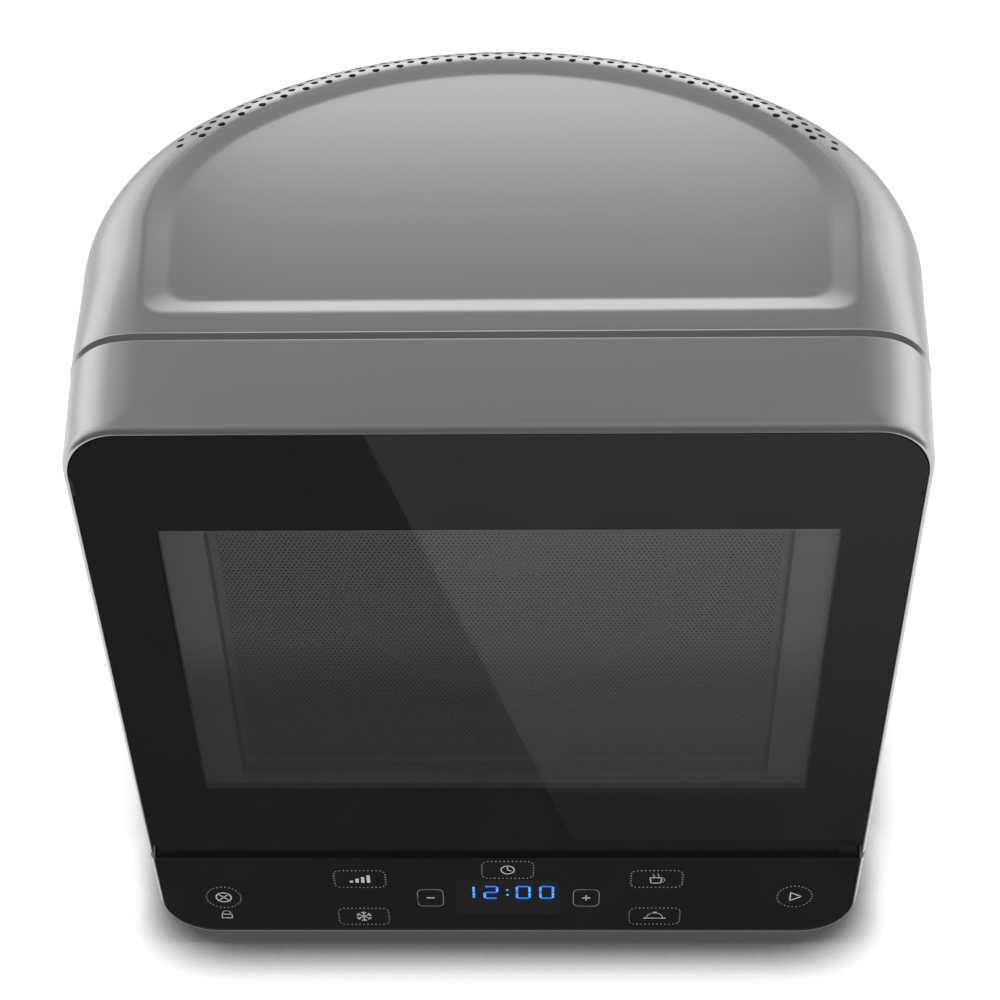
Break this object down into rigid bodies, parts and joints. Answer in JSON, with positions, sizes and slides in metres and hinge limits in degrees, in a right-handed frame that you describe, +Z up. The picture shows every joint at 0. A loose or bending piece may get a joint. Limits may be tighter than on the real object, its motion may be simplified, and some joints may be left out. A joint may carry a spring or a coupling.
{
  "type": "countertop microwave oven",
  "caption": "Compact countertop microwave oven with a rounded back, silver case, black glass drop-down door and touch panel below it.",
  "frame": {"origin": "middle of the oven's bounding box on the counter it stands on", "axes": "+X to the right seen from the front, +Y from the front to the back, +Z up"},
  "size_m": [0.392, 0.3199, 0.36],
  "materials": {
    "silver_paint": "satin metallic paint",
    "black_glass": "gloss, printed black at the back round a clear window",
    "panel_glass": "gloss, printed black at the back",
    "black_plastic": "fine texture",
    "zinc_sheet": "zinc-coated sheet",
    "enamel": "satin enamel",
    "perforated_sheet": "matt black paint, perforated",
    "clear_film": "clear",
    "tray_glass": "clear pressed glass",
    "white_plastic": "satin",
    "grey_plastic": "satin",
    "rubber": "matt",
    "mica": "matt flaky sheet",
    "core_steel": "varnished laminations",
    "can_aluminium": "drawn",
    "circuit_board": "solder mask",
    "display": "dark display face",
    "steel_pin": "ground",
    "bulb_glass": "clear"
  },
  "bodies": {
    "cabinet": {"outer_case": "silver_paint", "base_plate": "zinc_sheet", "feet": "rubber", "cord_gland": "black_plastic", "front_plate": "enamel", "cavity_liner": "enamel", "waveguide": "zinc_sheet", "waveguide_cover": "mica", "magnetron": "zinc_sheet", "thermal_cutout": "black_plastic", "transformer": "core_steel", "capacitor": "can_aluminium", "capacitor_clamp": "zinc_sheet", "diode": "black_plastic", "filter_board": "circuit_board", "fan_shroud": "white_plastic", "fan_motor": "core_steel", "air_duct": "white_plastic", "turntable_motor": "zinc_sheet", "lamp_holder": "zinc_sheet", "lamp_bulb": "bulb_glass", "lamp_screen": "zinc_sheet", "interlock_bracket_right": "white_plastic", "interlock_bracket_left": "white_plastic", "interlock_switches": "black_plastic", "hinge_bracket_right": "black_plastic", "hinge_bracket_left": "black_plastic", "hinge_pins": "steel_pin", "control_housing": "silver_paint", "control_carrier": "black_plastic", "control_glass": "panel_glass", "display_module": "display", "control_board": "circuit_board"},
    "door": {"door_shell": "silver_paint", "door_glass": "black_glass", "door_frame": "black_plastic", "door_screen": "perforated_sheet", "choke_cover": "grey_plastic", "window_film": "clear_film", "latch_springs": "steel_pin"},
    "latch_right": {"latch_right": "white_plastic"},
    "latch_left": {"latch_left": "white_plastic"},
    "turntable": {"turntable_coupler": "white_plastic", "glass_tray": "tray_glass"},
    "roller_ring": {"roller_ring": "white_plastic"},
    "roller_wheel_1": {"roller_wheel_1": "white_plastic"},
    "roller_wheel_2": {"roller_wheel_2": "white_plastic"},
    "roller_wheel_3": {"roller_wheel_3": "white_plastic"},
    "fan": {"fan_blade": "white_plastic"}
  },
  "joints": [
    {"name": "door_hinge", "type": "hinge", "parent": "cabinet", "child": "door", "pos_m": [0, -0.1536, 0.0822], "axis": [1, 0, 0], "range_deg": [0, 90]},
    {"name": "latch_right_pivot", "type": "hinge", "parent": "door", "child": "latch_right", "pos_m": [0.1585, -0.133, 0.3], "axis": [1, 0, 0], "range_deg": [0, 10], "stiffness_Nm_per_rad": 0.05},
    {"name": "latch_left_pivot", "type": "hinge", "parent": "door", "child": "latch_left", "pos_m": [-0.1585, -0.133, 0.3], "axis": [1, 0, 0], "range_deg": [0, 10], "stiffness_Nm_per_rad": 0.05},
    {"name": "turntable_spin", "type": "hinge", "parent": "cabinet", "child": "turntable", "pos_m": [0, 0.01035, 0.1226], "axis": [0, 0, 1], "continuous": true},
    {"name": "ring_spin", "type": "hinge", "parent": "cabinet", "child": "roller_ring", "pos_m": [0, 0.01035, 0.1153], "axis": [0, 0, 1], "continuous": true},
    {"name": "wheel_1_spin", "type": "hinge", "parent": "roller_ring", "child": "roller_wheel_1", "pos_m": [0, 0.1065, 0.1153], "axis": [0, 1, 0], "continuous": true},
    {"name": "wheel_2_spin", "type": "hinge", "parent": "roller_ring", "child": "roller_wheel_2", "pos_m": [-0.08327, -0.03773, 0.1153], "axis": [-0.866, -0.5, 0], "continuous": true},
    {"name": "wheel_3_spin", "type": "hinge", "parent": "roller_ring", "child": "roller_wheel_3", "pos_m": [0.08327, -0.03773, 0.1153], "axis": [0.866, -0.5, 0], "continuous": true},
    {"name": "fan_spin", "type": "hinge", "parent": "cabinet", "child": "fan", "pos_m": [0.095, 0.071, 0.0596], "axis": [0, 1, 0], "continuous": true}
  ],
  "couplings": [
    {"joint": "ring_spin", "follows": "turntable_spin", "ratio": 0.5},
    {"joint": "wheel_1_spin", "follows": "turntable_spin", "ratio": -6.8679},
    {"joint": "wheel_2_spin", "follows": "turntable_spin", "ratio": -6.8679},
    {"joint": "wheel_3_spin", "follows": "turntable_spin", "ratio": -6.8679}
  ]
}
